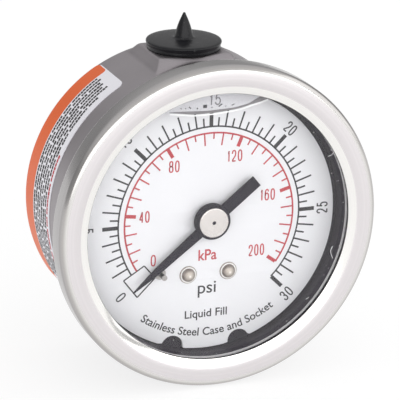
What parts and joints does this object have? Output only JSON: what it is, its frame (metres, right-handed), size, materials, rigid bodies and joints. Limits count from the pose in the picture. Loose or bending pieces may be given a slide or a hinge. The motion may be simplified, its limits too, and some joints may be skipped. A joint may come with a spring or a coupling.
{
  "type": "pressure gauge",
  "caption": "Round liquid-filled pressure gauge with a stainless case, white dial, black pointer, rubber filling plug and a centre-back threaded stem.",
  "frame": {"origin": "on the gauge axis, at the shoulder where the thread of the stem starts", "axes": "+Y along the gauge axis from the dial to the stem, so the dial faces -Y; +Z towards the filling plug, which is up in use; +X to the viewer's right"},
  "size_m": [0.0694, 0.0585, 0.0746],
  "materials": {
    "case_steel": "satin, fine circumferential grain",
    "bezel_steel": "polished with very fine turned lines",
    "window_glass": "clear polished",
    "black_plastic": "satin",
    "rubber": "matt moulded",
    "dial_white": "semi-gloss enamel",
    "bright_steel": "bright turned",
    "pointer_black": "satin paint",
    "brass": "machined",
    "tube_alloy": "drawn, slightly dull",
    "socket_steel": "machined, with tool marks",
    "label_film": "printed film, semi-gloss"
  },
  "bodies": {
    "gauge": {"case": "case_steel", "bezel": "bezel_steel", "window": "window_glass", "window_gasket": "rubber", "dial_ring": "black_plastic", "dial": "dial_white", "dial_screws": "bright_steel", "dial_washers": "bright_steel", "dial_posts": "brass", "stop_pin": "bright_steel", "hairspring": "tube_alloy", "hairspring_stud": "brass", "bourdon_tube": "tube_alloy", "front_plate": "brass", "back_plate": "brass", "pillars": "brass", "plate_screws": "bright_steel", "mounting_screws": "bright_steel", "socket": "socket_steel", "restrictor": "brass", "socket_oring": "rubber", "back_screws": "bright_steel", "side_label": "label_film"},
    "pointer_group": {"pointer": "pointer_black", "pointer_hub": "bright_steel", "pinion": "brass", "hairspring_collet": "brass"},
    "sector": {"sector_gear": "brass", "sector_arbor": "bright_steel", "tail_screw": "bright_steel"},
    "link": {"link": "brass"},
    "tube_tip": {"tube_end": "bright_steel", "tip_screw": "bright_steel"},
    "plug": {"fill_plug": "rubber"}
  },
  "joints": [
    {"name": "pointer_turn", "type": "hinge", "parent": "gauge", "child": "pointer_group", "pos_m": [0, -0.036, 0], "axis": [0, 1, 0], "range_deg": [0, 264], "stiffness_Nm_per_rad": 0.0001, "springref_deg": -17.19, "deforming": ["hairspring"]},
    {"name": "sector_turn", "type": "hinge", "parent": "gauge", "child": "sector", "pos_m": [0.01352, -0.027, -0.00946], "axis": [0, 1, 0], "range_deg": [-26.41, 0]},
    {"name": "link_swing", "type": "hinge", "parent": "sector", "child": "link", "pos_m": [0.02072, -0.0262, -0.00946], "axis": [0, 1, 0], "range_deg": [0, 30.7]},
    {"name": "tube_uncurl", "type": "hinge", "parent": "gauge", "child": "tube_tip", "pos_m": [-0.0067, -0.025, 0.0062], "axis": [0, 1, 0], "range_deg": [-6.41, 0], "deforming": ["bourdon_tube"]},
    {"name": "plug_draw", "type": "slide", "parent": "gauge", "child": "plug", "axis": [0, 0, 1], "range_m": [0, 0.012]}
  ],
  "couplings": [
    {"joint": "sector_turn", "follows": "pointer_turn", "ratio": -0.1},
    {"joint": "link_swing", "follows": "pointer_turn", "ratio": 0.11622},
    {"joint": "tube_uncurl", "follows": "pointer_turn", "ratio": -0.02425}
  ]
}
